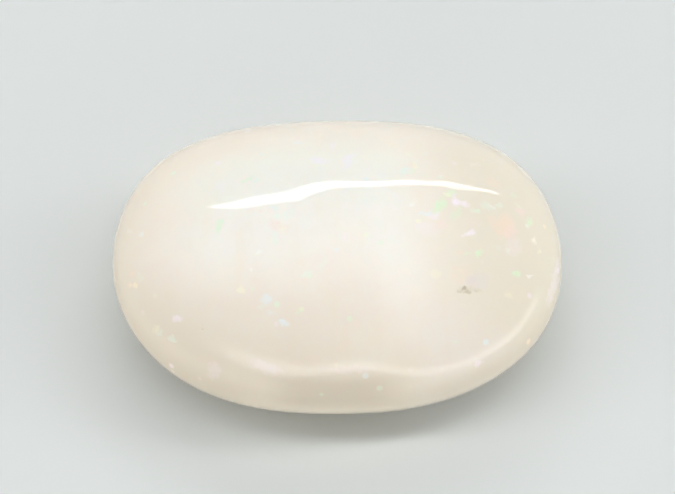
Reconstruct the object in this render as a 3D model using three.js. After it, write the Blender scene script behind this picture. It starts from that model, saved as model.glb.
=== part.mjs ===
// A loose white opal, cut and polished by hand as a high oval cabochon with a flat base.
// Millimetres. +X runs along the stone, +Z is up, and the origin is under its middle, on the base.

import * as THREE from 'three';

// Overall size of the stone
const LENGTH = 18;
const WIDTH = 13.5;
const THICKNESS = 7.4;

// Height of the girdle, the widest line round the stone, and how far below it the base cuts the belly
const GIRDLE_HEIGHT = 3;
const BASE_LATITUDE = THREE.MathUtils.degToRad(64);

// How far the oval goes from an ellipse (0) towards a rounded oblong, and where it does so more
const SQUARENESS = 0.128;
const SQUARER_BEHIND = 0.043;
const SQUARER_BELOW = 0.08;

// The dome: its swell, and how quickly it turns over at the girdle
const DOME_SWELL = 0.03;
const SHOULDER_TURN = 0.2;

// The belly under the girdle
const BELLY_SWELL = 0.03;
const BELLY_DROP = 0.03;

// The crown, the highest point, sits a little forward of the middle
const CROWN_Y = -0.5;

// Where hand cutting left the stone low, or high, against an even one, and how far each such place reaches
const UNEVEN_PLACES = [
  { centre: new THREE.Vector3(5.2, -4.2, 5.2), radius: 3, height: -0.38 },
  { centre: new THREE.Vector3(7.3, -4.2, 2.6), radius: 3, height: -0.15 },
  { centre: new THREE.Vector3(-4.8, -4.6, 5.2), radius: 3, height: -0.1 },
  { centre: new THREE.Vector3(-7.5, -3.8, 2.6), radius: 3, height: -0.25 },
  { centre: new THREE.Vector3(0.2, 3.5, 6.6), radius: 3, height: -0.05 },
  { centre: new THREE.Vector3(4.6, 6, 3.2), radius: 3, height: 0.13 },
];

// A flat spot low on the front: the shoulder over it stands out and the flank under it falls back
const FLAT_PLACES = [
  { centre: new THREE.Vector3(0.3, -6.4, 5.4), radius: 1.8, height: 0.12 },
  { centre: new THREE.Vector3(0.3, -7, 3.7), radius: 2, height: -0.13 },
];

// Facets of the solid, round the stone and from crown to base
const SIDES = 80;
const ROWS = 40;
const BASE_ROWS = 3;

const OPAL_COLOUR = new THREE.Color(0xece5d8);
const OPAL_ROUGHNESS = 0.08;

// Depth of the whole belly, of which the base cuts off the lowest part
const bellyFall = (latitude) => Math.sin(latitude) * (1 + BELLY_DROP * Math.cos(latitude) ** 2);
const BELLY_DEPTH = GIRDLE_HEIGHT / bellyFall(BASE_LATITUDE);

// A point of the dome or belly, by its turn round the stone and its latitude above or below the girdle.
function bodyPoint(turn, latitude) {
  const onDome = latitude > 0;
  const lift = Math.sin(latitude);
  const reach = Math.cos(latitude) * (1 + (onDome ? DOME_SWELL : BELLY_SWELL) * lift ** 2);
  const square = SQUARENESS + SQUARER_BEHIND * Math.sin(turn) - SQUARER_BELOW * lift;
  const along = Math.cos(turn) * (1 + square * Math.sin(turn) ** 2);
  const across = Math.sin(turn) * (1 + square * Math.cos(turn) ** 2);
  const lean = onDome ? lift ** 2 : 0;
  const rise = onDome
    ? (THICKNESS - GIRDLE_HEIGHT) * lift * (1 - SHOULDER_TURN * Math.cos(latitude) ** 2)
    : -BELLY_DEPTH * bellyFall(-latitude);

  return new THREE.Vector3(
    (LENGTH / 2) * along * reach,
    (WIDTH / 2) * across * reach + CROWN_Y * lean,
    GIRDLE_HEIGHT + rise,
  );
}

// Raises or sinks a point of the surface, away from or towards the middle of the stone.
function makeUneven(point) {
  const outward = point.clone().sub(new THREE.Vector3(0, 0, THICKNESS / 2)).normalize();
  let shift = 0;
  for (const { centre, radius, height } of [...UNEVEN_PLACES, ...FLAT_PLACES]) {
    shift += height * Math.exp(-((point.distanceTo(centre) / radius) ** 2));
  }
  return point.addScaledVector(outward, shift);
}

// The surface from crown (row 0) to the middle of the base (last row).
function surfacePoint(turn, row) {
  const domeRows = ROWS / 2;
  const edgeRow = ROWS - BASE_ROWS;
  if (row <= domeRows) {
    return makeUneven(bodyPoint(turn, (Math.PI / 2) * (1 - row / domeRows)));
  }
  const down = Math.min(row, edgeRow) - domeRows;
  const point = bodyPoint(turn, (-BASE_LATITUDE * down) / (edgeRow - domeRows));
  if (row < edgeRow) {
    return makeUneven(point);
  }
  point.multiplyScalar((ROWS - row) / BASE_ROWS);
  point.z = 0;
  return point;
}

// A sphere's grid of rows and sides, with each of its points moved to its place on the stone
function opalGeometry() {
  const geometry = new THREE.SphereGeometry(1, SIDES, ROWS);
  geometry.rotateX(Math.PI / 2);
  const position = geometry.attributes.position;
  const direction = new THREE.Vector3();
  for (let i = 0; i < position.count; i += 1) {
    direction.fromBufferAttribute(position, i);
    const row = Math.round((Math.acos(THREE.MathUtils.clamp(direction.z, -1, 1)) / Math.PI) * ROWS);
    const turn = Math.atan2(direction.y, direction.x);
    const point = surfacePoint(turn, row);
    position.setXYZ(i, point.x, point.y, point.z);
  }
  geometry.computeVertexNormals();
  return geometry;
}

function opalMaterial() {
  return new THREE.MeshStandardMaterial({
    color: OPAL_COLOUR,
    roughness: OPAL_ROUGHNESS,
    metalness: 0,
  });
}

const opal = new THREE.Mesh(opalGeometry(), opalMaterial());
opal.name = 'opal';

const stone = new THREE.Group();
stone.add(opal);

export default stone;
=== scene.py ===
import math
from collections import namedtuple

import bpy
import numpy as np
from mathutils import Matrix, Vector


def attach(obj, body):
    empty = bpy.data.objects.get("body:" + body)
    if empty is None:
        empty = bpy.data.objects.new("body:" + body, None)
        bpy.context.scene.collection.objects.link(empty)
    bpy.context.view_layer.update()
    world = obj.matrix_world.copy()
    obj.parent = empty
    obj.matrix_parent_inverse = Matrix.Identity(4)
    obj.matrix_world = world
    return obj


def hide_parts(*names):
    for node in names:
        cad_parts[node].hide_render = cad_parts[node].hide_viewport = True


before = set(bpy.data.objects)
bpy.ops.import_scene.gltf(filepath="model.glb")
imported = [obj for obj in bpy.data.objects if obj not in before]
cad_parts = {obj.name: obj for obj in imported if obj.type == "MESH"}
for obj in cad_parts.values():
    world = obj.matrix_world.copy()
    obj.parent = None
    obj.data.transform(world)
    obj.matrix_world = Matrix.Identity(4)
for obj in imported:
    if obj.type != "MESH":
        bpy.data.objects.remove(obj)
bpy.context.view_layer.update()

# A loose white opal, polished as a high oval cabochon, on a pale studio floor.
# The shape is worked out in millimetres and the scene is in metres, +Z up, in the frame's own place.

MM = 0.001

# Overall size of the stone, as in the solid
LENGTH = 18.0
WIDTH = 13.5
THICKNESS = 7.4
GIRDLE_HEIGHT = 3.0
BASE_LATITUDE = math.radians(64)

# How far the oval goes from an ellipse towards a rounded oblong, and where it does so more
SQUARENESS = 0.128
SQUARER_BEHIND = 0.043
SQUARER_BELOW = 0.08

# The dome, the belly under the girdle, and the crown a little forward of the middle
DOME_SWELL = 0.03
SHOULDER_TURN = 0.2
BELLY_SWELL = 0.03
BELLY_DROP = 0.03
CROWN_Y = -0.5

# Where hand cutting left the stone low, or high: the place, how far it reaches and the height there
UNEVEN_PLACES = [
    ((5.2, -4.2, 5.2), 3.0, -0.38),
    ((7.3, -4.2, 2.6), 3.0, -0.15),
    ((-4.8, -4.6, 5.2), 3.0, -0.1),
    ((-7.5, -3.8, 2.6), 3.0, -0.25),
    ((0.2, 3.5, 6.6), 3.0, -0.05),
    ((4.6, 6.0, 3.2), 3.0, 0.13),
]

# A flat spot low on the front: the shoulder over it stands out and the flank under it falls back
FLAT_PLACES = [
    ((0.3, -6.4, 5.4), 1.8, 0.12),
    ((0.3, -7.0, 3.7), 2.0, -0.13),
]

# The fine surface: points round the stone, rows on each part of it, and the rounding of the base's edge
SIDES = 320
DOME_ROWS = 130
BELLY_ROWS = 50
EDGE_ROWS = 8
BASE_ROWS = 12
EDGE_LATITUDE = math.radians(60)
EDGE_ON_BASE = 0.93

# The camera: its elevation, its distance and the width of the frame at the stone, its sensor, and how far
# the middle of the frame lies above the stone's and to its right
CAMERA_ELEVATION = math.radians(55)
CAMERA_DISTANCE = 300.0
FRAME_WIDTH = 26.9
SENSOR_WIDTH = 36.0
FRAME_RAISE = 0.376
FRAME_SHIFT = 0.02


# Node helpers

def add_node(tree, kind, inputs=None, **settings):
    """A node with its settings made and each input set to a value or joined to a socket."""
    node = tree.nodes.new(kind)
    for name, value in settings.items():
        setattr(node, name, value)
    for key, value in (inputs or {}).items():
        if isinstance(value, bpy.types.NodeSocket):
            tree.links.new(value, node.inputs[key])
        else:
            node.inputs[key].default_value = value
    return node


def maths(tree, operation, *values):
    """The result of a Math node."""
    return add_node(tree, "ShaderNodeMath", dict(enumerate(values)), operation=operation).outputs[0]


def vector_maths(tree, operation, *values):
    """The vector that a Vector Math node gives."""
    node = add_node(tree, "ShaderNodeVectorMath", dict(enumerate(values)), operation=operation)
    return node.outputs["Vector"]


def dot(tree, vector, direction):
    """How far a vector reaches along a direction."""
    node = add_node(tree, "ShaderNodeVectorMath", {0: vector, 1: direction}, operation="DOT_PRODUCT")
    return node.outputs["Value"]


def ramp(tree, value, start, end, low=0.0, high=1.0):
    """A value that goes smoothly from low at start to high at end."""
    inputs = {"Value": value, "From Min": start, "From Max": end, "To Min": low, "To Max": high}
    node = add_node(tree, "ShaderNodeMapRange", inputs, interpolation_type="SMOOTHSTEP")
    return node.outputs["Result"]


def mix(tree, share, first, second):
    """Two colours mixed by a share of the second."""
    node = add_node(tree, "ShaderNodeMix", data_type="RGBA")
    for key, value in (("Factor_Float", share), ("A_Color", first), ("B_Color", second)):
        socket = next(s for s in node.inputs if s.identifier == key)
        if isinstance(value, bpy.types.NodeSocket):
            tree.links.new(value, socket)
        else:
            socket.default_value = value
    return next(s for s in node.outputs if s.identifier == "Result_Color")


def noise(tree, place, texture):
    """The outputs of a noise texture."""
    inputs = {"Vector": place, "Scale": texture.scale, "Detail": texture.detail,
              "Roughness": texture.roughness, "Distortion": texture.distortion}
    return add_node(tree, "ShaderNodeTexNoise", inputs).outputs


def linear(red, green, blue):
    """A linear colour from the red, green and blue of a screen, 0 to 255."""
    def channel(value):
        share = value / 255
        return share / 12.92 if share <= 0.04045 else ((share + 0.055) / 1.055) ** 2.4
    return (channel(red), channel(green), channel(blue), 1.0)


# The stone's shape

def body_ring(turn, latitude):
    """Points round the dome or belly at one latitude, in millimetres."""
    on_dome = latitude > 0
    lift = math.sin(latitude)
    level = math.cos(latitude)
    reach = level * (1 + (DOME_SWELL if on_dome else BELLY_SWELL) * lift**2)
    square = SQUARENESS + SQUARER_BEHIND * np.sin(turn) - SQUARER_BELOW * lift
    along = np.cos(turn) * (1 + square * np.sin(turn) ** 2)
    across = np.sin(turn) * (1 + square * np.cos(turn) ** 2)
    if on_dome:
        rise = (THICKNESS - GIRDLE_HEIGHT) * lift * (1 - SHOULDER_TURN * level**2)
        lean = CROWN_Y * lift**2
    else:
        belly_depth = GIRDLE_HEIGHT / belly_fall(BASE_LATITUDE)
        rise = -belly_depth * belly_fall(-latitude)
        lean = 0.0
    x = LENGTH / 2 * along * reach
    y = WIDTH / 2 * across * reach + lean
    z = np.full_like(turn, GIRDLE_HEIGHT + rise)
    return make_uneven(np.stack([x, y, z], axis=1))


def belly_fall(latitude):
    """How far the belly has dropped below the girdle, as a share of its depth."""
    return math.sin(latitude) * (1 + BELLY_DROP * math.cos(latitude) ** 2)


def make_uneven(points):
    """Raises or sinks points, away from or towards the middle of the stone."""
    outward = points - np.array([0, 0, THICKNESS / 2])
    outward /= np.linalg.norm(outward, axis=1, keepdims=True)
    shift = np.zeros(len(points))
    for place, radius, height in UNEVEN_PLACES + FLAT_PLACES:
        away = np.linalg.norm(points - np.array(place), axis=1)
        shift += height * np.exp(-((away / radius) ** 2))
    return points + outward * shift[:, None]


def stone_rings():
    """Rings of points from just under the crown to just outside the middle of the base."""
    turn = np.linspace(0, 2 * math.pi, SIDES, endpoint=False)
    rings = [body_ring(turn, math.pi / 2 * (1 - row / DOME_ROWS)) for row in range(1, DOME_ROWS)]
    rings += [body_ring(turn, -EDGE_LATITUDE * row / BELLY_ROWS) for row in range(BELLY_ROWS)]
    above_edge = body_ring(turn, -EDGE_LATITUDE)
    edge = body_ring(turn, -BASE_LATITUDE)
    edge[:, 2] = 0
    inside_edge = edge * EDGE_ON_BASE
    for row in range(EDGE_ROWS + 1):
        t = row / EDGE_ROWS
        rings.append((1 - t) ** 2 * above_edge + 2 * t * (1 - t) * edge + t**2 * inside_edge)
    rings += [inside_edge * (1 - row / BASE_ROWS) for row in range(1, BASE_ROWS)]
    return rings


def stone_mesh():
    """The stone's polished surface as one closed mesh."""
    rings = stone_rings()
    crown = body_ring(np.zeros(1), math.pi / 2)
    points = np.concatenate([crown, *rings, np.zeros((1, 3))]) * MM
    last = len(points) - 1
    faces = []
    for side in range(SIDES):
        following = (side + 1) % SIDES
        faces.append((0, 1 + side, 1 + following))
        for row in range(len(rings) - 1):
            upper = 1 + row * SIDES
            lower = upper + SIDES
            faces.append((upper + side, lower + side, lower + following, upper + following))
        bottom = 1 + (len(rings) - 1) * SIDES
        faces.append((bottom + side, last, bottom + following))
    mesh = bpy.data.meshes.new("opal_polished")
    mesh.from_pydata(points.tolist(), [], faces)
    mesh.validate()
    mesh.shade_smooth()
    return mesh


# The opal's look

CREAM = linear(248, 242, 235)
MILK = linear(250, 245, 238)
HONEY = linear(247, 233, 211)
HAZE = linear(254, 248, 238)
# Tan, which takes over towards the bottom: partly the stone's warm edge colour, partly painted shade where
# less light reaches the lower sides
TAN_AND_PAINTED_SHADE = linear(224, 214, 196)
APRICOT = linear(249, 235, 216)
BEIGE = linear(229, 223, 207)
# Painted shade for the front flank, left and middle, which the light from above leaves darker
PAINTED_FRONT_SHADE = linear(222, 213, 197)
PALE = linear(236, 230, 223)
# Painted shade for the lower front flank towards both ends, under the mirrored front band
PAINTED_END_SHADE = linear(213, 202, 184)
# Painted shade for the front flank under the shoulder, in the middle, just above the girdle
PAINTED_FLANK_SHADE = linear(208, 196, 178)

# Patches of colour, laid over the body one after another. Each has its greatest share, and spans over which
# it goes from a low share to full: places in millimetres along an axis. The last of the axes is how far a
# place is to either side of a line just left of the middle.
ALONG, ACROSS, UP, SIDEWAYS = range(4)
SIDEWAYS_MIDDLE = -0.1
Span = namedtuple("Span", "axis start full low", defaults=(0.0,))
Patch = namedtuple("Patch", "colour share spans")
PATCHES = [
    Patch(HAZE, 0.75, [Span(ACROSS, -1.5, 2.5), Span(ACROSS, 5.0, 2.5)]),
    # Tan darker towards the bottom: the stone's warm edge colour and painted shade on the lower sides
    Patch(TAN_AND_PAINTED_SHADE, 1.0, [Span(UP, 7.1, 2.6)]),
    Patch(APRICOT, 0.35, [Span(ACROSS, 2.0, 4.5)]),
    Patch(BEIGE, 0.75, [Span(ALONG, 1.5, 6.0), Span(ACROSS, -5.5, -1.5, low=0.3)]),
    # Painted shade on the front of the dome, left and middle, above the girdle
    Patch(PAINTED_FRONT_SHADE, 0.38, [Span(ACROSS, -1.4, -4.6), Span(ALONG, 3.6, 0.8), Span(UP, 2.6, 4.2)]),
    Patch(PALE, 0.55, [Span(ACROSS, -3.2, -4.8), Span(ALONG, 2.4, 4.2)]),
    # Painted shade low on the front towards both ends
    Patch(PAINTED_END_SHADE, 0.6, [Span(UP, 4.0, 3.0), Span(SIDEWAYS, 2.6, 4.6), Span(ACROSS, 1.0, -1.0)]),
    # Painted shade on the front flank under the shoulder, strongest in the middle
    Patch(PAINTED_FLANK_SHADE, 0.6, [Span(ACROSS, -5.2, -6.0), Span(UP, 4.7, 4.0), Span(UP, 2.6, 3.4, low=0.1),
                       Span(SIDEWAYS, 3.2, 1.2, low=0.1)]),
]

# Textures in the stone, by their scale per millimetre. A range is the part of a texture's values over which
# what it controls changes.
Texture = namedtuple("Texture", "scale detail roughness distortion", defaults=(2.0, 0.5, 0.0))
CLOUDS = Texture(0.35, detail=3.0, distortion=0.6)
CLOUD_RANGE = (0.35, 0.65)
STREAKS = Texture(1.0, detail=4.0, roughness=0.6, distortion=0.4)
STREAK_STRETCH = (1.1, 0.3, 0.3)
STREAK_RANGE = (0.5, 0.75)
STREAK_SHARE = 0.25

# The polish: its uneven roughness, the duller base with the heights in millimetres over which it comes in,
# and faint ripples with their depth in millimetres
POLISH = Texture(1.4, detail=3.0)
POLISH_RANGE = (0.3, 0.7)
POLISH_ROUGHNESS = (0.03, 0.07)
BASE_HEIGHTS = (0.3, 0.05)
BASE_ROUGHNESS = 0.3
RIPPLES = Texture(0.9)
RIPPLE_STRENGTH = 0.12
RIPPLE_DEPTH = 0.05

# How far light goes into the stone, in millimetres, for red, green and blue
SUBSURFACE_RADIUS = (1.7, 1.5, 1.3)
OPAL_IOR = 1.45

# Colours of the flashes that opal shows at its surface
GREEN = linear(220, 252, 216)
MINT = linear(234, 253, 241)
LILAC = linear(255, 244, 255)
BLUE = linear(236, 249, 255)
ORANGE = linear(255, 224, 202)
PINK = linear(254, 226, 226)
YELLOW = linear(254, 252, 222)
WHITE = linear(255, 254, 252)

# How strong the flashes are, and how much of that is left in the dark parts of their grain
FLASH_STRENGTH = 0.8
FLASH_GRAIN = 0.7
GRAIN = Texture(5.0)
GRAIN_RANGE = (0.35, 0.6)

# Markings in sight from the front and above. Each is a small oval: its place along the stone and up it as
# seen from there, its length and width, how far it is turned in degrees, and its strength.
Marking = namedtuple("Marking", "along up length width turn strength")
FACE_ELEVATION = math.radians(55)
FLASHES = [
    (GREEN, [
        Marking(4.05, 2.00, 0.66, 0.42, 58, 0.7), Marking(4.72, 1.67, 0.46, 0.36, 30, 0.3),
        Marking(4.52, 2.52, 0.40, 0.24, 10, 0.5), Marking(5.60, 0.15, 0.32, 0.20, 10, 0.6),
        Marking(7.65, 1.35, 0.30, 0.28, 20, 0.5), Marking(7.10, -0.68, 0.34, 0.22, 10, 0.55),
        Marking(-4.66, 1.20, 0.52, 0.26, 86, 0.65), Marking(-3.52, 3.12, 0.50, 0.14, 32, 0.5),
        Marking(-1.48, -2.15, 0.34, 0.16, 45, 0.35), Marking(3.85, 4.25, 0.36, 0.22, 0, 0.25),
        Marking(-3.30, -1.30, 0.14, 0.14, 0, 0.5), Marking(-1.02, -0.72, 0.12, 0.12, 0, 0.5),
        Marking(5.10, 0.92, 0.16, 0.10, 0, 0.4), Marking(5.60, 1.85, 0.16, 0.12, 0, 0.4),
        Marking(2.98, 3.40, 0.22, 0.14, 40, 0.4), Marking(5.12, 0.10, 0.20, 0.14, 0, 0.35),
        Marking(7.06, 2.45, 0.26, 0.18, -30, 0.3),
    ]),
    (MINT, [
        Marking(-2.45, 1.93, 0.42, 0.24, -20, 0.6), Marking(-1.95, 1.70, 0.50, 0.36, 10, 0.5),
        Marking(-2.46, 0.77, 0.40, 0.34, 80, 0.4), Marking(2.65, 3.36, 0.42, 0.26, 20, 0.65),
        Marking(-3.24, 3.02, 0.30, 0.22, 20, 0.5), Marking(-6.48, -3.26, 0.34, 0.24, 0, 0.5),
        Marking(-7.00, -3.05, 0.24, 0.14, 30, 0.3), Marking(-7.80, -0.84, 0.24, 0.40, 0, 0.2),
        Marking(-1.18, -0.70, 0.40, 0.20, 35, 0.5), Marking(-0.55, -0.30, 0.50, 0.16, 60, 0.25),
        Marking(5.50, 1.82, 0.30, 0.20, 0, 0.4), Marking(5.95, 2.00, 0.50, 0.24, -30, 0.3),
        Marking(1.25, 2.25, 0.56, 0.34, 20, 0.25), Marking(0.05, 0.80, 0.30, 0.14, 40, 0.2),
        Marking(-2.95, -1.95, 0.40, 0.22, 10, 0.3), Marking(7.20, 2.05, 0.40, 0.16, -40, 0.3),
        Marking(6.47, 2.05, 0.34, 0.16, -10, 0.35), Marking(6.75, 0.25, 0.26, 0.20, 0, 0.3),
    ]),
    (LILAC, [
        Marking(4.90, 2.12, 0.66, 0.20, -16, 0.75), Marking(4.62, 2.24, 0.16, 0.34, 0, 0.4),
        Marking(5.20, 0.90, 0.46, 0.22, 18, 0.85), Marking(-0.70, 3.78, 0.58, 0.28, -4, 0.75),
        Marking(0.40, 3.80, 0.34, 0.60, 0, 0.6), Marking(0.66, 4.02, 0.30, 0.12, 30, 0.6),
        Marking(-0.18, 4.38, 0.14, 0.34, 0, 0.6), Marking(-4.60, 2.75, 0.30, 0.32, 0, 0.3),
        Marking(-6.33, -2.42, 0.34, 0.24, 20, 0.65), Marking(3.82, 1.60, 0.44, 0.22, 20, 0.55),
        Marking(8.58, -1.25, 1.30, 0.30, 72, 0.36), Marking(8.80, -0.40, 0.70, 0.18, 84, 0.36),
        Marking(5.55, -4.25, 0.30, 0.20, 20, 0.5), Marking(0.36, 0.72, 0.40, 0.36, 0, 0.2),
        Marking(3.55, 1.10, 0.90, 0.50, -20, 0.25), Marking(7.00, 0.35, 0.70, 0.60, 0, 0.2),
        Marking(-2.80, -4.34, 1.20, 0.40, -18, 0.3), Marking(0.50, -4.45, 1.60, 0.30, 2, 0.22),
        Marking(-4.85, -4.50, 0.50, 0.60, 0, 0.25),
    ]),
    (BLUE, [
        Marking(-1.60, 4.60, 0.40, 0.18, 4, 0.85), Marking(3.62, 1.70, 0.30, 0.22, 0, 0.6),
        Marking(3.40, 1.72, 0.24, 0.16, -30, 0.5), Marking(-2.08, -2.58, 0.32, 0.28, 0, 0.8),
        Marking(-2.80, -1.65, 0.38, 0.34, 20, 0.6), Marking(4.05, 4.24, 0.20, 0.14, 0, 0.3),
        Marking(-2.62, -2.20, 0.24, 0.20, 20, 0.3),
    ]),
    (ORANGE, [
        Marking(6.65, 1.20, 0.70, 0.92, 0, 0.42), Marking(6.15, 1.40, 0.34, 0.50, 20, 0.28),
        Marking(-2.36, 1.25, 0.40, 0.36, 20, 0.25), Marking(-2.05, 1.12, 0.34, 0.40, 70, 0.2),
        Marking(-8.08, -1.12, 0.32, 0.24, 0, 0.35), Marking(-8.12, -0.72, 0.26, 0.18, 0, 0.3),
        Marking(4.85, 0.16, 0.30, 0.14, 0, 0.35), Marking(4.85, -0.70, 0.80, 0.70, 30, 0.2),
        Marking(3.00, 3.62, 0.24, 0.30, 0, 0.25), Marking(6.20, 2.95, 0.60, 0.40, -30, 0.25),
        Marking(5.40, -1.10, 0.24, 0.16, 0, 0.25),
    ]),
    (PINK, [
        Marking(-2.46, 1.30, 0.40, 0.40, 0, 0.25), Marking(4.05, 1.22, 0.44, 0.30, 0, 0.35),
        Marking(-3.40, 1.90, 0.50, 0.30, 0, 0.15), Marking(6.90, 0.90, 0.50, 0.60, 0, 0.3),
        Marking(7.26, 1.81, 0.44, 0.24, -20, 0.35), Marking(5.35, 1.35, 0.60, 0.30, -20, 0.2),
    ]),
    (YELLOW, [
        Marking(3.22, 1.42, 0.26, 0.16, 0, 0.6), Marking(4.42, 2.50, 0.24, 0.16, 0, 0.5),
        Marking(3.10, 3.60, 0.22, 0.24, 0, 0.4), Marking(-2.12, 1.05, 0.22, 0.22, 0, 0.3),
        Marking(-3.78, -1.30, 0.26, 0.24, 0, 0.5), Marking(-1.38, -2.05, 0.24, 0.16, 45, 0.3),
        Marking(-7.14, -2.84, 0.22, 0.30, 0, 0.35), Marking(-8.05, -1.14, 0.22, 0.16, 0, 0.5),
        Marking(7.82, 0.62, 0.16, 0.24, 0, 0.4), Marking(8.02, 0.26, 0.18, 0.26, 0, 0.4),
        Marking(2.86, 4.05, 0.20, 0.24, 0, 0.3), Marking(-3.10, 0.12, 0.14, 0.14, 0, 0.4),
        Marking(3.89, -0.70, 0.44, 0.30, 0, 0.25), Marking(6.75, -1.54, 0.34, 0.24, 0, 0.25),
    ]),
    (WHITE, [
        Marking(7.62, -0.76, 0.34, 0.08, 0, 0.8), Marking(5.48, 3.68, 0.26, 0.18, 0, 0.6),
        Marking(5.68, 3.72, 0.20, 0.14, 0, 0.5), Marking(-3.40, -0.50, 0.14, 0.14, 0, 0.7),
        Marking(-3.06, 0.18, 0.14, 0.12, 0, 0.7), Marking(2.20, 4.78, 0.26, 0.14, 0, 0.3),
        Marking(-5.30, -2.90, 0.20, 0.10, 0, 0.2), Marking(4.15, 3.20, 0.18, 0.10, 0, 0.3),
        Marking(6.20, 3.60, 0.22, 0.14, 0, 0.3), Marking(-8.30, 1.00, 0.16, 0.20, 0, 0.3),
        Marking(2.98, 2.05, 0.18, 0.14, 0, 0.6), Marking(6.15, 1.97, 0.28, 0.10, -20, 0.5),
        Marking(7.85, 0.60, 0.12, 0.26, 20, 0.5),
    ]),
]

# The inclusion: a few dark specks in a grey cloud, and one faint speck to the left
INCLUSION_CLOUD = linear(226, 220, 226)
INCLUSION_HALO = linear(214, 204, 178)
INCLUSION_SPECK = linear(126, 108, 78)
INCLUSION = [
    (INCLUSION_CLOUD, [
        Marking(5.60, -0.98, 0.80, 0.60, 30, 0.24), Marking(5.25, -0.90, 0.40, 0.40, 0, 0.16),
    ]),
    (INCLUSION_HALO, [
        Marking(5.08, -1.30, 0.54, 0.28, 4, 0.5), Marking(5.60, -1.32, 0.36, 0.16, 0, 0.3),
        Marking(-5.30, -2.84, 0.14, 0.10, 0, 0.5),
    ]),
    (INCLUSION_SPECK, [
        Marking(4.86, -1.40, 0.18, 0.12, 0, 0.14), Marking(5.04, -1.24, 0.20, 0.16, 40, 0.36),
        Marking(5.20, -1.38, 0.22, 0.14, -10, 0.2), Marking(5.50, -1.34, 0.12, 0.10, 0, 0.08),
    ]),
]

# The markings come in over these depths in millimetres, forward of the stone's middle
FACE_DEPTHS = (-0.6, 0.4)

# The markings' edges: how far they wander, and where a marking ends and where it is full, as the square of
# the distance from its middle over its reach
WANDER = 0.45
WANDER_TEXTURE = Texture(3.6, detail=4.0)
MARKING_END = 2.1
MARKING_FULL = 0.1

# Far too small to be seen: it makes each list of markings follow on the one before
AFTER_EACH_OTHER = 1e-6

# Pinfire: tiny flecks of colour scattered over the whole stone, gathered in patches. The cells of a pattern
# whose own value is past the share have one. It is full near its middle and ends at its reach.
PINFIRE_SCALE = 1.7
PINFIRE_SHARE = (0.83, 0.87)
PINFIRE_REACH = 0.3
PINFIRE_FULL = 0.12
PINFIRE_STRENGTH = 0.5
PINFIRE_PATCHES = Texture(0.5, detail=1.0)
PINFIRE_PATCH_RANGE = (0.42, 0.6)
PINFIRE_BETWEEN = 0.15
PINFIRE_HUES = [(0.0, GREEN), (0.2, MINT), (0.4, BLUE), (0.55, YELLOW), (0.7, ORANGE), (0.9, LILAC)]


def markings(tree, place, ovals):
    """How strongly any of a list of markings covers a place: 0 beside them, their strength within.
    The place's third part is 1, which brings in how far off each marking's own middle is."""
    total = 0.0
    for oval in ovals:
        turn = math.radians(oval.turn)
        squared = 0.0
        for way, reach in (((math.cos(turn), math.sin(turn)), oval.length / 2),
                           ((-math.sin(turn), math.cos(turn)), oval.width / 2)):
            offset = way[0] * oval.along + way[1] * oval.up
            away = dot(tree, place, (way[0] / reach, way[1] / reach, -offset / reach))
            squared = maths(tree, "MULTIPLY_ADD", away, away, squared)
        covered = ramp(tree, squared, MARKING_END, MARKING_FULL, 0.0, oval.strength)
        total = maths(tree, "ADD", total, covered)
    return maths(tree, "MINIMUM", total, 1.0)


def add_markings(tree, place, shown, colour, coloured_lists):
    """A colour with lists of markings laid over it, one list after another."""
    for hue, ovals in coloured_lists:
        share = markings(tree, place, ovals)
        colour = mix(tree, maths(tree, "MULTIPLY", share, shown), colour, hue)
        waited = maths(tree, "MULTIPLY", share, AFTER_EACH_OTHER)
        place = vector_maths(tree, "ADD", place, waited)
    return colour


def face_place(tree, in_mm, x):
    """The place along and up the face that points forward and up, and a mask of what lies on it."""
    sine, cosine = math.sin(FACE_ELEVATION), math.cos(FACE_ELEVATION)
    from_middle = vector_maths(tree, "SUBTRACT", in_mm, (0, 0, THICKNESS / 2))
    up = dot(tree, from_middle, (0, sine, cosine))
    depth = dot(tree, from_middle, (0, -cosine, sine))
    flat = add_node(tree, "ShaderNodeCombineXYZ", {"X": x, "Y": up}).outputs[0]
    wandering = noise(tree, in_mm, WANDER_TEXTURE)["Color"]
    shift = vector_maths(tree, "MULTIPLY_ADD", wandering, (WANDER, WANDER, 0), (-WANDER / 2, -WANDER / 2, 1))
    return vector_maths(tree, "ADD", flat, shift), ramp(tree, depth, *FACE_DEPTHS)


def body_colour(tree, in_mm, axes):
    """Milky cream with faint clouds and honey streaks, under the patches of colour, some of which are
    painted shade on the front flank and towards the bottom.
    """
    clouds = ramp(tree, noise(tree, in_mm, CLOUDS)["Fac"], *CLOUD_RANGE)
    colour = mix(tree, clouds, CREAM, MILK)
    stretched = add_node(tree, "ShaderNodeMapping", {"Vector": in_mm, "Scale": STREAK_STRETCH}).outputs[0]
    streaks = ramp(tree, noise(tree, stretched, STREAKS)["Fac"], *STREAK_RANGE, 0.0, STREAK_SHARE)
    colour = mix(tree, streaks, colour, HONEY)
    for patch in PATCHES:
        share = patch.share
        for span in patch.spans:
            covered = ramp(tree, axes[span.axis], span.start, span.full, span.low)
            share = maths(tree, "MULTIPLY", share, covered)
        colour = mix(tree, share, colour, patch.colour)
    return colour


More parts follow.
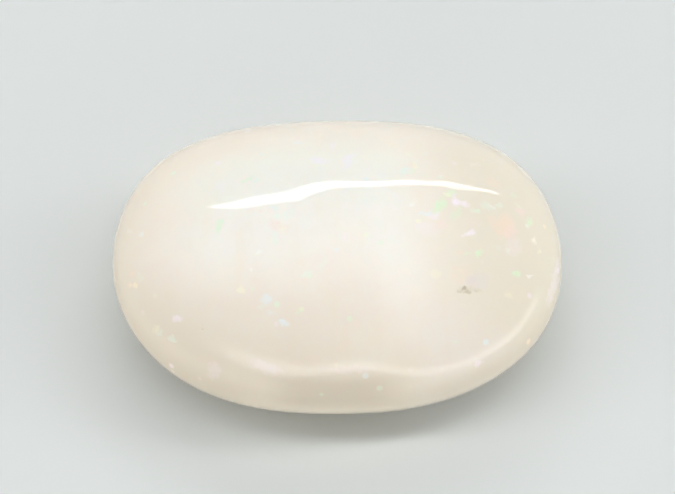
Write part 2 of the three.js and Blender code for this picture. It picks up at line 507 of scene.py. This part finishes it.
def pinfire(tree, in_mm, colour):
    """A colour with flecks of many hues laid over it, in some of the cells of a cell pattern."""
    inputs = {"Vector": in_mm, "Scale": PINFIRE_SCALE, "Randomness": 1.0}
    cells = add_node(tree, "ShaderNodeTexVoronoi", inputs, voronoi_dimensions="3D", feature="F1").outputs
    choice, hue_choice, _ = add_node(tree, "ShaderNodeSeparateColor", {0: cells["Color"]}).outputs
    chosen = ramp(tree, choice, *PINFIRE_SHARE)
    fleck = ramp(tree, cells["Distance"], PINFIRE_REACH, PINFIRE_FULL)
    gathered = ramp(tree, noise(tree, in_mm, PINFIRE_PATCHES)["Fac"], *PINFIRE_PATCH_RANGE, PINFIRE_BETWEEN)
    share = maths(tree, "MULTIPLY", maths(tree, "MULTIPLY", chosen, fleck), gathered)
    hue = add_node(tree, "ShaderNodeValToRGB", {"Fac": hue_choice})
    first, *between, last = PINFIRE_HUES
    stops = hue.color_ramp.elements
    stops[0].position, stops[0].color = first
    stops[1].position, stops[1].color = last
    for position, shade in between:
        stops.new(position).color = shade
    return mix(tree, maths(tree, "MULTIPLY", share, PINFIRE_STRENGTH), colour, hue.outputs["Color"])


def opal_material():
    """Milky opal: a soft cream body with painted shade on its front and lower sides, flashes of colour, a
    small inclusion and a high polish.
    """
    material = bpy.data.materials.new("opal_milky")
    material.use_nodes = True
    tree = material.node_tree
    shader = tree.nodes["Principled BSDF"]

    coordinates = add_node(tree, "ShaderNodeTexCoord").outputs["Object"]
    in_mm = vector_maths(tree, "MULTIPLY", coordinates, (1 / MM, 1 / MM, 1 / MM))
    x, y, z = add_node(tree, "ShaderNodeSeparateXYZ", {0: in_mm}).outputs
    sideways = maths(tree, "ABSOLUTE", maths(tree, "SUBTRACT", x, SIDEWAYS_MIDDLE))

    colour = body_colour(tree, in_mm, (x, y, z, sideways))
    colour = pinfire(tree, in_mm, colour)
    place, facing = face_place(tree, in_mm, x)
    grain = ramp(tree, noise(tree, in_mm, GRAIN)["Fac"], *GRAIN_RANGE, FLASH_STRENGTH * FLASH_GRAIN,
                 FLASH_STRENGTH)
    colour = add_markings(tree, place, maths(tree, "MULTIPLY", facing, grain), colour, FLASHES)
    colour = add_markings(tree, place, facing, colour, INCLUSION)
    tree.links.new(colour, shader.inputs["Base Color"])

    polish = ramp(tree, noise(tree, in_mm, POLISH)["Fac"], *POLISH_RANGE, *POLISH_ROUGHNESS)
    base = ramp(tree, z, *BASE_HEIGHTS, 0.0, BASE_ROUGHNESS)
    tree.links.new(maths(tree, "ADD", polish, base), shader.inputs["Roughness"])
    inputs = {"Height": noise(tree, in_mm, RIPPLES)["Fac"], "Strength": RIPPLE_STRENGTH,
              "Distance": RIPPLE_DEPTH * MM}
    bump = add_node(tree, "ShaderNodeBump", inputs)
    tree.links.new(bump.outputs["Normal"], shader.inputs["Normal"])
    shader.inputs["IOR"].default_value = OPAL_IOR
    shader.inputs["Subsurface Weight"].default_value = 1.0
    shader.inputs["Subsurface Radius"].default_value = SUBSURFACE_RADIUS
    shader.inputs["Subsurface Scale"].default_value = MM
    return material


def make_opal():
    """The polished stone, which stands for the solid of the same form."""
    stone = bpy.data.objects.new("opal_polished", stone_mesh())
    bpy.context.scene.collection.objects.link(stone)
    stone.data.materials.append(opal_material())
    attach(stone, "root")
    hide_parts("opal")


# The studio, in metres

FLOOR_SIZE = 4.0
FLOOR_COLOUR = (0.72, 0.75, 0.742, 1.0)
FLOOR_ROUGHNESS = 0.9
FLOOR_SPECULAR = 0.2

LIGHT_COLOUR = (1.0, 1.0, 1.0, 1.0)

# The sky, and the paper sweep in it, by how far a direction points up and how far it points behind
SKY_RADIANCE = 0.13
SWEEP_RADIANCE = 0.45
SWEEP_UP = (0.4, 0.1)
SWEEP_BEHIND = (0.1, 0.5)

# A lamp is a ribbon of light round the stone, made of so many steps from stop to stop and rows across. Its
# stops give where its middle line runs and how thick it is there, in degrees.
LAMP_DISTANCE = 0.6
LAMP_STEPS = 8
LAMP_ROWS = 8

# Lamps that the stone mirrors, by azimuth (0 behind the stone, positive to its right) and elevation
BACK_LAMP = [
    (-38.5, 31, 3), (-33, 37, 6), (-27, 39, 7), (-20, 41, 8), (-13, 41, 8), (-7, 37, 8), (-2, 33, 7),
    (2, 32, 5), (6, 32, 5), (11, 32, 5), (16, 30, 5), (22, 28, 5), (26, 25, 5), (31, 22, 5), (36.8, 13, 5),
]
FRONT_LAMP = [
    (244, 27, 14), (226, 22, 22), (214, 18, 27), (203, 14, 28), (192, 8, 28), (184, 9.5, 28),
    (175, 13, 28), (166, 13, 28), (158, 9.5, 28), (151, 5, 26), (144, 3, 24), (131, 3, 22), (118, 4, 20),
    (105, 5, 19), (92, 5, 16), (78, 4, 10),
]

# Wide soft lamps, too even to be seen in the polish. The arch runs overhead from left to right, by turn
# (0 overhead, positive to the right) and tilt (positive behind); the others go by azimuth and elevation.
ARCH_LAMP = [
    (-70, -6, 9), (-57, -6, 11), (-32, -6, 12.5), (-10, -6, 13), (10, -4, 13), (32, 4, 12), (45, 3, 14),
    (57, 1, 17), (70, 1, 14),
]
LEFT_LAMP = [(-155, 6, 12), (-135, 7, 15), (-105, 10, 17), (-75, 11, 18), (-60, 10, 14)]
RIGHT_LAMP = [(70, 10, 14), (80, 11, 18), (100, 10, 17), (130, 7, 15), (150, 6, 12)]
BEHIND_LAMP = [(-35, 48, 10), (-10, 48, 16), (30, 48, 16), (60, 48, 10)]
BESIDE_LAMP = [(95, 25, 14), (110, 25, 20), (135, 25, 20), (150, 25, 14)]


def curve_through(stops, share):
    """A point on the smooth curve through a list of stops, at a share of its length in stops."""
    stops = np.array(stops, float)
    place = share * (len(stops) - 1)
    index = min(int(place), len(stops) - 2)
    t = place - index
    before = stops[max(index - 1, 0)]
    start = stops[index]
    end = stops[index + 1]
    after = stops[min(index + 2, len(stops) - 1)]
    return 0.5 * (2 * start + (end - before) * t + (2 * before - 5 * start + 4 * end - after) * t**2
                  + (3 * start - before - 3 * end + after) * t**3)


def round_stone(azimuth, elevation):
    """A unit vector from the stone, for an azimuth and elevation in degrees."""
    a = math.radians(azimuth)
    e = math.radians(elevation)
    return Vector((math.sin(a) * math.cos(e), math.cos(a) * math.cos(e), math.sin(e)))


def over_stone(turn, tilt):
    """A unit vector from the stone, for a turn from overhead and a tilt backwards in degrees."""
    a = math.radians(turn)
    e = math.radians(tilt)
    return Vector((math.sin(a) * math.cos(e), math.sin(e), math.cos(a) * math.cos(e)))


def lamp_mesh(name, stops, way, fades):
    """A ribbon round the stone. Each of its points has a value for how far inwards it lies, from 0 at the
    edges and ends to 1 along the middle. The ends fade over so many stops."""
    middle = Vector((0, 0, THICKNESS / 2 * MM))
    count = LAMP_STEPS * (len(stops) - 1)
    points = []
    inwards = []
    for step in range(count + 1):
        along, across, thickness = curve_through(stops, step / count)
        end = min(1, step / LAMP_STEPS / fades[0], (count - step) / LAMP_STEPS / fades[1])
        for row in range(LAMP_ROWS + 1):
            side = row / LAMP_ROWS - 0.5
            points.append(middle + LAMP_DISTANCE * way(along, across + side * thickness))
            inwards.append((1 - abs(2 * side)) * end)
    faces = []
    for step in range(count):
        for row in range(LAMP_ROWS):
            corner = step * (LAMP_ROWS + 1) + row
            faces.append((corner, corner + 1, corner + LAMP_ROWS + 2, corner + LAMP_ROWS + 1))
    mesh = bpy.data.meshes.new(name)
    mesh.from_pydata([tuple(point) for point in points], [], faces)
    mesh.attributes.new("inwards", "FLOAT", "POINT").data.foreach_set("value", inwards)
    return mesh


def lamp_material(name, radiance, softness):
    """Light of the given radiance, which falls off towards the edges over a share of the half width."""
    material = bpy.data.materials.new(name)
    material.use_nodes = True
    tree = material.node_tree
    tree.nodes.clear()
    inwards = add_node(tree, "ShaderNodeAttribute", attribute_name="inwards").outputs["Fac"]
    strength = ramp(tree, inwards, 0.0, softness, 0.0, radiance)
    glow = add_node(tree, "ShaderNodeEmission", {"Color": LIGHT_COLOUR, "Strength": strength})
    output = add_node(tree, "ShaderNodeOutputMaterial")
    tree.links.new(glow.outputs[0], output.inputs["Surface"])
    return material


def make_lamp(name, stops, way, radiance, softness, fades=(0.5, 0.5), mirrored=True):
    """A ribbon of light that lights the stone and floor, and is itself out of sight."""
    mesh = lamp_mesh(name, stops, way, fades)
    mesh.materials.append(lamp_material(name, radiance, softness))
    lamp = bpy.data.objects.new(name, mesh)
    lamp.visible_camera = False
    lamp.visible_glossy = mirrored
    bpy.context.scene.collection.objects.link(lamp)


def make_floor():
    """The pale floor, wide enough to fill every view from above."""
    half = FLOOR_SIZE / 2
    corners = [(-half, -half, 0), (half, -half, 0), (half, half, 0), (-half, half, 0)]
    mesh = bpy.data.meshes.new("floor")
    mesh.from_pydata(corners, [], [(0, 1, 2, 3)])
    material = bpy.data.materials.new("floor_matt")
    material.use_nodes = True
    shader = material.node_tree.nodes["Principled BSDF"]
    shader.inputs["Base Color"].default_value = FLOOR_COLOUR
    shader.inputs["Roughness"].default_value = FLOOR_ROUGHNESS
    shader.inputs["Specular IOR Level"].default_value = FLOOR_SPECULAR
    mesh.materials.append(material)
    floor = bpy.data.objects.new("floor", mesh)
    bpy.context.scene.collection.objects.link(floor)


def make_sky():
    """A dim sky that the lamps stand out against, with the paper sweep rising pale behind the stone."""
    world = bpy.data.worlds.new("studio")
    bpy.context.scene.world = world
    world.use_nodes = True
    tree = world.node_tree
    tree.nodes.clear()
    way = add_node(tree, "ShaderNodeTexCoord").outputs["Generated"]
    _, y, z = add_node(tree, "ShaderNodeSeparateXYZ", {0: way}).outputs
    sweep = maths(tree, "MULTIPLY", ramp(tree, z, *SWEEP_UP), ramp(tree, y, *SWEEP_BEHIND))
    strength = maths(tree, "MULTIPLY_ADD", sweep, SWEEP_RADIANCE, SKY_RADIANCE)
    glow = add_node(tree, "ShaderNodeBackground", {"Color": LIGHT_COLOUR, "Strength": strength})
    output = add_node(tree, "ShaderNodeOutputWorld")
    tree.links.new(glow.outputs[0], output.inputs["Surface"])


def make_camera():
    """The camera in front of the stone and above it."""
    back = Vector((0, -math.cos(CAMERA_ELEVATION), math.sin(CAMERA_ELEVATION)))
    up = Vector((0, math.sin(CAMERA_ELEVATION), math.cos(CAMERA_ELEVATION)))
    aim = Vector((FRAME_SHIFT, 0, THICKNESS / 2)) + up * FRAME_RAISE
    camera = bpy.data.objects.new("camera", bpy.data.cameras.new("camera"))
    camera.data.sensor_width = SENSOR_WIDTH
    camera.data.lens = SENSOR_WIDTH * CAMERA_DISTANCE / FRAME_WIDTH
    camera.location = (aim + back * CAMERA_DISTANCE) * MM
    camera.rotation_mode = "QUATERNION"
    camera.rotation_quaternion = (-back).to_track_quat("-Z", "Y")
    bpy.context.scene.collection.objects.link(camera)
    bpy.context.scene.camera = camera


make_camera()
make_opal()
make_floor()
make_sky()
make_lamp("lamp_back", BACK_LAMP, round_stone, radiance=6.5, softness=0.25)
make_lamp("lamp_front", FRONT_LAMP, round_stone, radiance=3.0, softness=1.0, fades=(2.4, 1))
make_lamp("lamp_arch", ARCH_LAMP, over_stone, radiance=5.6, softness=0.5, mirrored=False)
make_lamp("lamp_left", LEFT_LAMP, round_stone, radiance=2.6, softness=0.5, mirrored=False)
make_lamp("lamp_right", RIGHT_LAMP, round_stone, radiance=2.5, softness=0.5, mirrored=False)
make_lamp("lamp_behind", BEHIND_LAMP, round_stone, radiance=2.4, softness=0.5, mirrored=False)
make_lamp("lamp_beside", BESIDE_LAMP, round_stone, radiance=1.2, softness=0.5, mirrored=False)
bpy.context.scene.view_settings.view_transform = "Standard"
